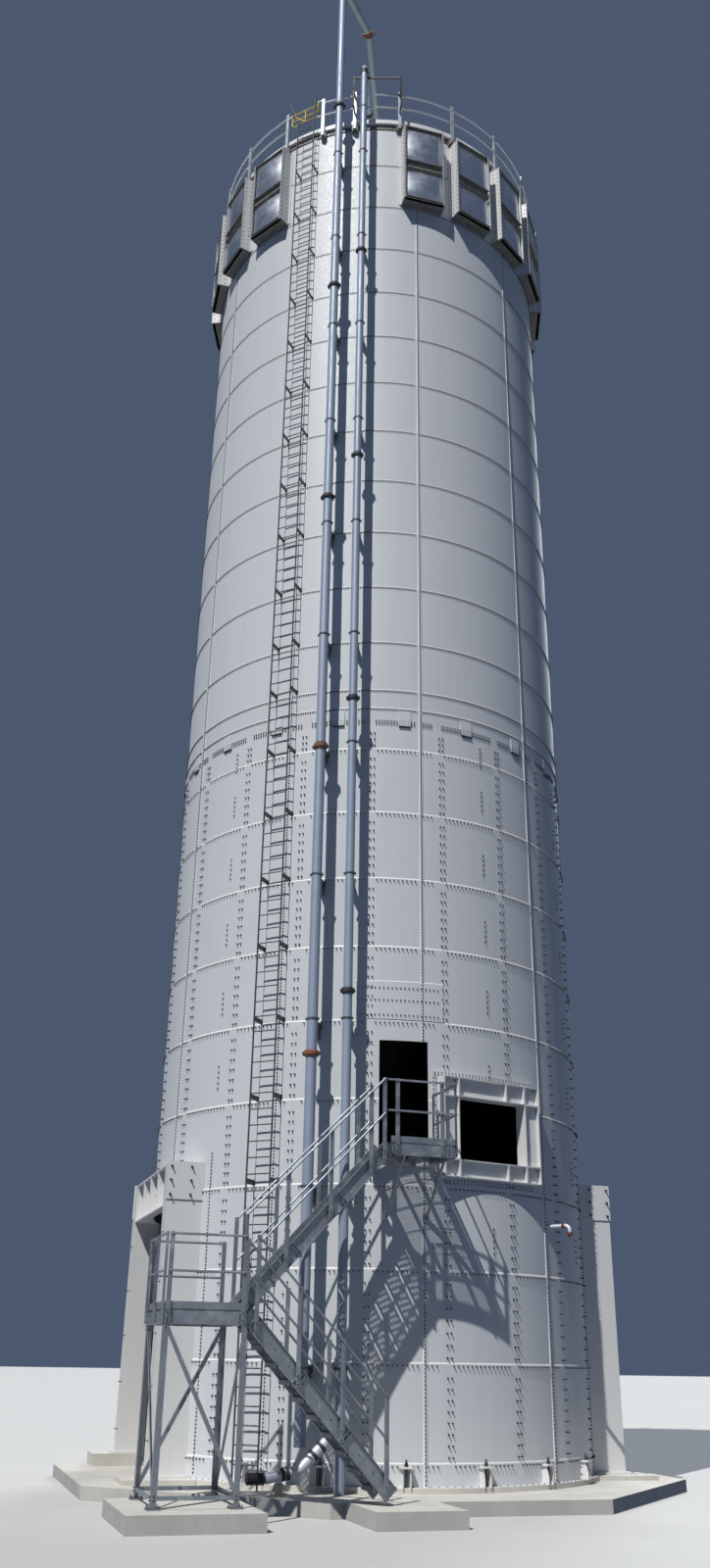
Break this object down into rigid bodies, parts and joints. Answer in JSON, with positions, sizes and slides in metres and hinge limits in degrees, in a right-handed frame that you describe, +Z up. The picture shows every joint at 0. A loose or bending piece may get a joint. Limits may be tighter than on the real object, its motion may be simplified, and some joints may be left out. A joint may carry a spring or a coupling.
{
  "type": "bolted steel silo on a drive-through skirt",
  "caption": "Tall bolted steel silo with a hopper over a truck drive-through, a stair to the equipment room, wall pipes, a ladder, vents and a guard rail with a gate.",
  "frame": {"origin": "on the silo's axis at ground level, in the middle of the slab's underside", "axes": "+Z up; X along the drive-through; -Y is the side with the stair, the door, the pipes and the ladder"},
  "size_m": [12, 13.6, 39.7242],
  "materials": {
    "white_steel": "satin off-white paint",
    "galvanised_steel": "hot-dip galvanised",
    "pipe_steel": "light grey metal pipe",
    "concrete": null,
    "gate_yellow": "yellow safety paint",
    "valve_red": "red paint"
  },
  "bodies": {
    "root": {"big_pipe_riser": "pipe_steel", "big_pipe_roof_run": "pipe_steel", "compression_ring": "white_steel", "door_bay": "white_steel", "door_platform": "galvanised_steel", "eave_ring": "white_steel", "equipment_floor": "white_steel", "fill_connector": "pipe_steel", "frame_bay": "white_steel", "guard_rail_1": "galvanised_steel", "guard_rail_2": "galvanised_steel", "guard_rail_3": "galvanised_steel", "guard_rail_4": "galvanised_steel", "hopper_cone": "white_steel", "ladder": "galvanised_steel", "landing_rail_back": "galvanised_steel", "landing_rail_front": "galvanised_steel", "landing_rail_left": "galvanised_steel", "left_portal": "white_steel", "lower_far_rail": "galvanised_steel", "lower_flight": "galvanised_steel", "lower_near_rail": "galvanised_steel", "opening_frame": "white_steel", "platform_rail_front": "galvanised_steel", "platform_rail_side": "galvanised_steel", "plinth_slab": "concrete", "right_portal": "white_steel", "roof_cone": "white_steel", "roof_pipe_frame": "galvanised_steel", "sample_valve": "valve_red", "shell_1": "white_steel", "shell_2": "white_steel", "shell_3": "white_steel", "shell_4": "white_steel", "skirt_back": "white_steel", "skirt_front": "white_steel", "skirt_mid_back": "white_steel", "skirt_mid_left": "white_steel", "skirt_mid_right": "white_steel", "skirt_upper_1": "white_steel", "skirt_upper_2": "white_steel", "skirt_upper_3": "white_steel", "skirt_upper_4": "white_steel", "small_pipe_riser": "pipe_steel", "small_pipe_roof_run": "pipe_steel", "stair_foot_block": "concrete", "stair_landing": "galvanised_steel", "stair_tower": "galvanised_steel", "stair_tower_block": "concrete", "upper_far_rail": "galvanised_steel", "upper_flight": "galvanised_steel", "upper_near_rail": "galvanised_steel", "vent_band_1": "white_steel", "vent_band_2": "white_steel", "vent_band_3": "white_steel", "vent_band_4": "white_steel"},
    "roof_gate": {"roof_gate": "gate_yellow"}
  },
  "joints": [
    {"name": "roof_gate_hinge", "type": "hinge", "parent": "root", "child": "roof_gate", "pos_m": [-3.02094, -3.71726, 35.02], "axis": [0, 0, -1], "range_deg": [0, 90], "stiffness_Nm_per_rad": 3, "springref_deg": -11.46}
  ]
}
